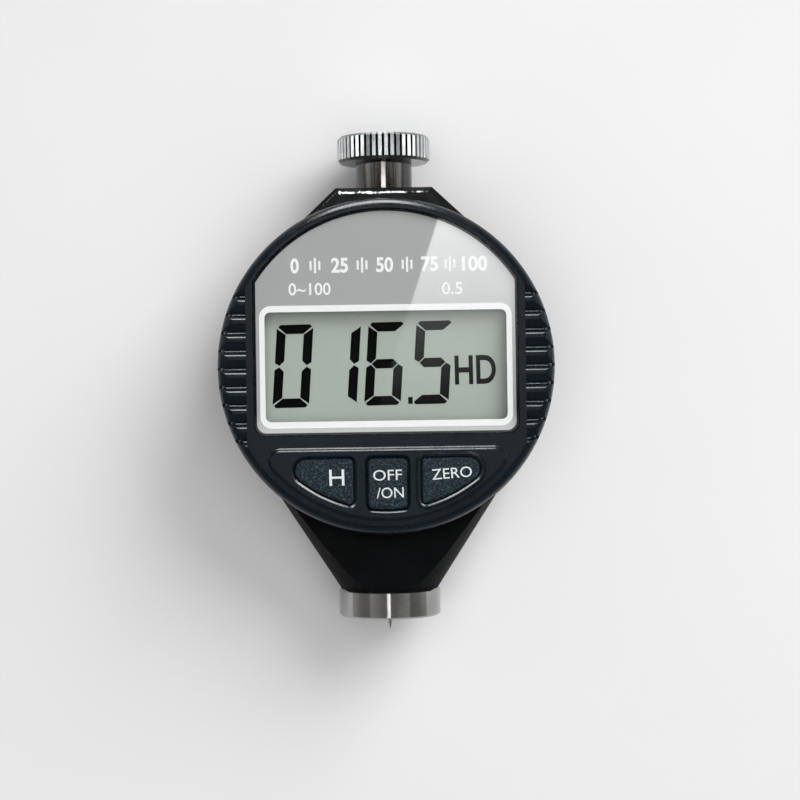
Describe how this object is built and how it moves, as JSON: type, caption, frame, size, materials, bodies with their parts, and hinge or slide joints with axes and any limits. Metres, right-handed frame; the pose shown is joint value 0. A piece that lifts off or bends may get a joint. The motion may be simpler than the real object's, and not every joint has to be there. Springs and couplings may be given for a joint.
{
  "type": "digital durometer",
  "caption": "Hand-held hardness tester: round case with display window and keys, tapered neck, flat pressure foot with a sprung cone indenter, and a knurled knob on a stem.",
  "frame": {"origin": "on the flat of the back cover, below the centre of the round case; the part lies on its back", "axes": "+X to the right of the face, +Y along the spindle from the pressure foot towards the knob, +Z out of the display face"},
  "size_m": [0.0584, 0.0874, 0.0252],
  "materials": {
    "case_plastic": "satin, fine grain",
    "body_paint": "gloss, worn on one top edge",
    "window": "clear, glossy",
    "silver_plate": "satin silver",
    "display_glass": "grey-green reflective display",
    "pale_plastic": "moulded",
    "elastomer": "matte",
    "board": "solder mask",
    "chip": "moulded",
    "key_rubber": "matte",
    "plunger_plastic": "moulded",
    "bright_plate": "polished, plated",
    "steel": "ground",
    "brass": "turned",
    "alloy": "milled"
  },
  "bodies": {
    "housing": {"front_case": "case_plastic", "window_lens": "window", "face_plate": "silver_plate", "lcd_glass": "display_glass", "lcd_frame": "pale_plastic", "zebra_strip_upper": "elastomer", "zebra_strip_lower": "elastomer", "main_pcb": "board", "controller_chip": "chip", "switch_hold": "chip", "switch_power": "chip", "switch_zero": "chip", "main_body": "body_paint", "lower_bush": "brass", "guide_rod": "steel", "pressure_foot": "bright_plate", "main_spring": "steel", "top_stem": "bright_plate", "spring_adjuster": "brass", "knob": "bright_plate", "back_cover": "case_plastic", "battery": "steel", "battery_contact_negative": "brass", "battery_contact_positive": "brass", "case_screws": "steel"},
    "spindle_unit": {"spindle": "steel", "indenter": "steel", "stop_collar": "brass", "spring_seat": "steel", "scale_carriage": "alloy", "scale_strip": "board"},
    "hold_key": {"button_hold": "key_rubber", "switch_plunger_hold": "plunger_plastic"},
    "power_key": {"button_power": "key_rubber", "switch_plunger_power": "plunger_plastic"},
    "zero_key": {"button_zero": "key_rubber", "switch_plunger_zero": "plunger_plastic"},
    "door": {"battery_door": "case_plastic"}
  },
  "joints": [
    {"name": "indenter_travel", "type": "slide", "parent": "housing", "child": "spindle_unit", "axis": [0, 1, 0], "range_m": [0, 0.0025], "stiffness_N_per_m": 17780, "deforming": ["main_spring"]},
    {"name": "hold_press", "type": "slide", "parent": "housing", "child": "hold_key", "axis": [0, 0, -1], "range_m": [0, 0.0004], "stiffness_N_per_m": 5000},
    {"name": "power_press", "type": "slide", "parent": "housing", "child": "power_key", "axis": [0, 0, -1], "range_m": [0, 0.0004], "stiffness_N_per_m": 5000},
    {"name": "zero_press", "type": "slide", "parent": "housing", "child": "zero_key", "axis": [0, 0, -1], "range_m": [0, 0.0004], "stiffness_N_per_m": 5000},
    {"name": "door_turn", "type": "hinge", "parent": "housing", "child": "door", "pos_m": [-0.01347, 0, 0], "axis": [0, 0, -1], "range_deg": [0, 60]}
  ]
}
